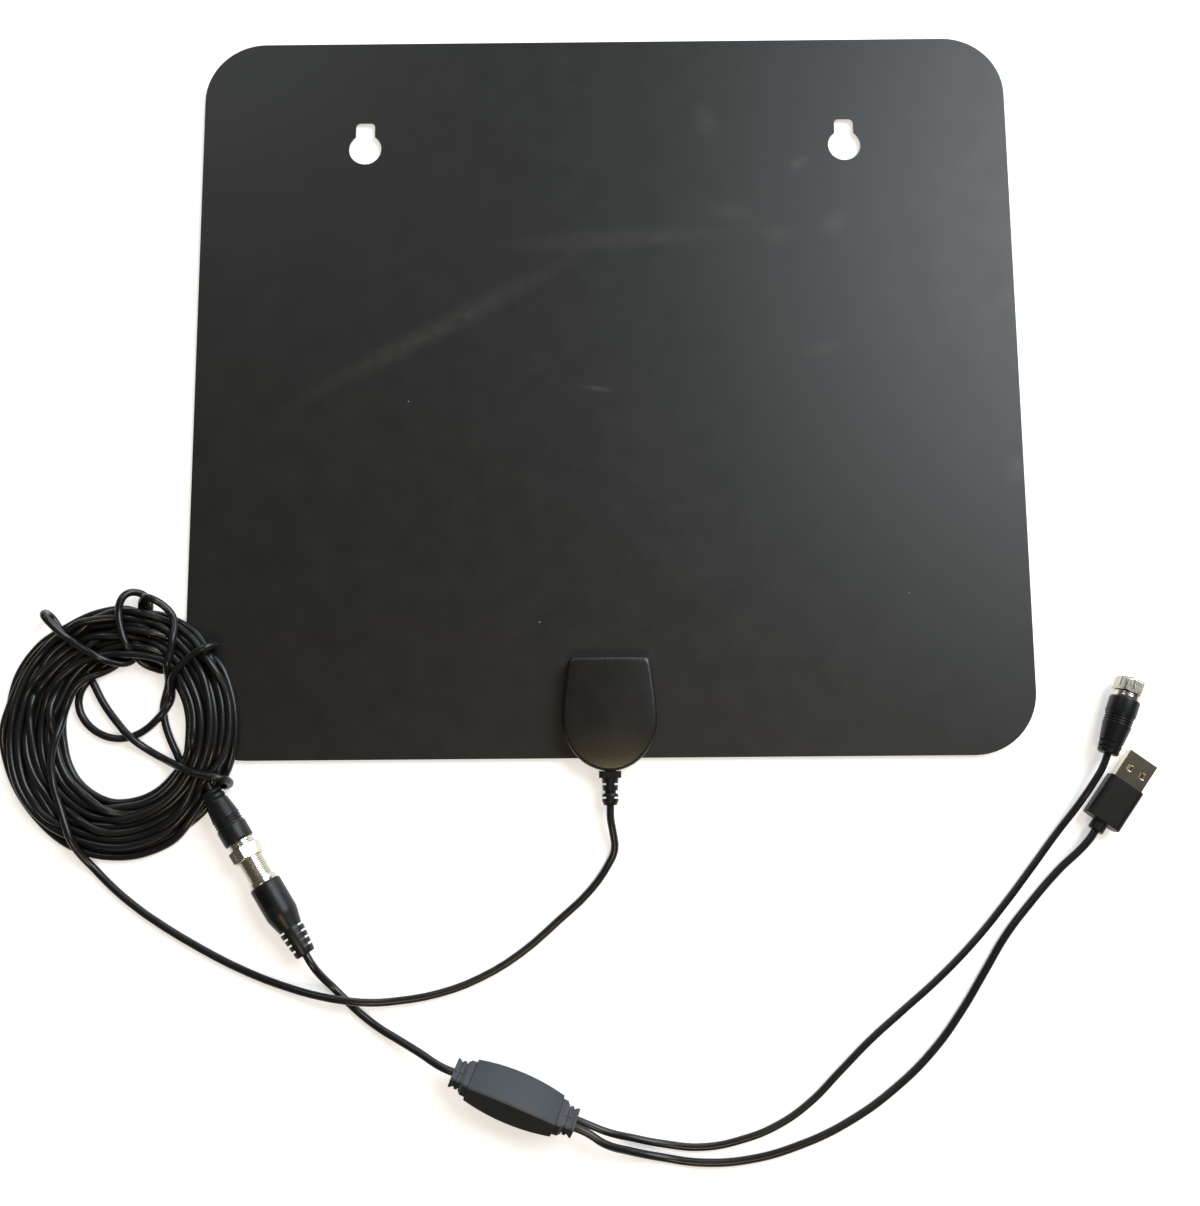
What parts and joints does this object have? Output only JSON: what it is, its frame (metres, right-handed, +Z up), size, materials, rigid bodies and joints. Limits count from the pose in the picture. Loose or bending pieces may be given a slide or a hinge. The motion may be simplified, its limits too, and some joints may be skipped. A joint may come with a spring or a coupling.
{
  "type": "tv antenna",
  "caption": "Flat indoor television antenna: a thin rectangular panel with hanging holes and a cable housing, its coiled lead, an inline amplifier, an aerial plug and a power plug.",
  "frame": {"origin": "on the table, under the middle of the box round the panel, its housing and the strain relief", "axes": "+X across the panel, +Y up the panel away from the cable housing, +Z up from the table, out of the panel's front"},
  "size_m": [0.4486, 0.452, 0.0189],
  "materials": {
    "film": "fine-grained matt black film",
    "foil": "bright foil",
    "housing": "satin black moulding",
    "board": "green laminate",
    "ferrite": "matt sintered",
    "brass": "plain brass",
    "insulator": "milky white",
    "jacket": "satin black jacket",
    "boot": "satin black moulded boot",
    "nickel": "warm nickel plate",
    "copper": "bare copper",
    "amplifier": "satin black moulding",
    "grip": "fine matt black moulding"
  },
  "bodies": {
    "panel_side": {"panel_front_film": "film", "panel_back_film": "film", "antenna_foil": "foil", "housing_front_shell": "housing", "housing_back_plate": "housing", "matching_board": "board", "transformer_core": "ferrite", "contact_pins": "brass", "feed_core": "insulator", "cable_strain_relief": "boot", "antenna_cable": "jacket", "cable_coil": "jacket", "cable_tail": "jacket", "plug_boot": "boot", "plug_collar": "nickel", "plug_insulator": "insulator", "plug_pin": "copper"},
    "coupling_nut": {"coupling_nut": "nickel"},
    "amplifier_side": {"socket_barrel": "nickel", "socket_insulator": "insulator", "socket_contact": "brass", "socket_boot": "boot", "pigtail_cable": "jacket", "amplifier_top_shell": "amplifier", "amplifier_bottom_shell": "amplifier", "amplifier_board": "board", "amplifier_can": "nickel", "output_cable": "jacket", "output_boot": "boot", "output_collar": "nickel", "output_insulator": "insulator", "output_pin": "copper", "power_cable": "jacket", "power_plug_grip": "grip", "power_plug_shell": "nickel", "power_plug_tongue": "insulator", "power_plug_contacts": "brass"},
    "output_nut": {"output_nut": "nickel"}
  },
  "joints": [
    {"name": "coupling_nut_turn", "type": "hinge", "parent": "panel_side", "child": "coupling_nut", "pos_m": [-0.141, -0.17369, 0.00655], "axis": [-0.5299, 0.848, 0], "range_deg": [0, 1316]},
    {"name": "socket_slide", "type": "slide", "parent": "panel_side", "child": "amplifier_side", "axis": [0.5299, -0.848, 0], "range_m": [0, 0.0029]},
    {"name": "output_nut_turn", "type": "hinge", "parent": "amplifier_side", "child": "output_nut", "pos_m": [0.20124, -0.11746, 0.00655], "axis": [0.3681, 0.9298, 0], "continuous": true}
  ],
  "couplings": [
    {"joint": "coupling_nut_turn", "follows": "socket_slide", "rad_per_m": 7915.8}
  ]
}
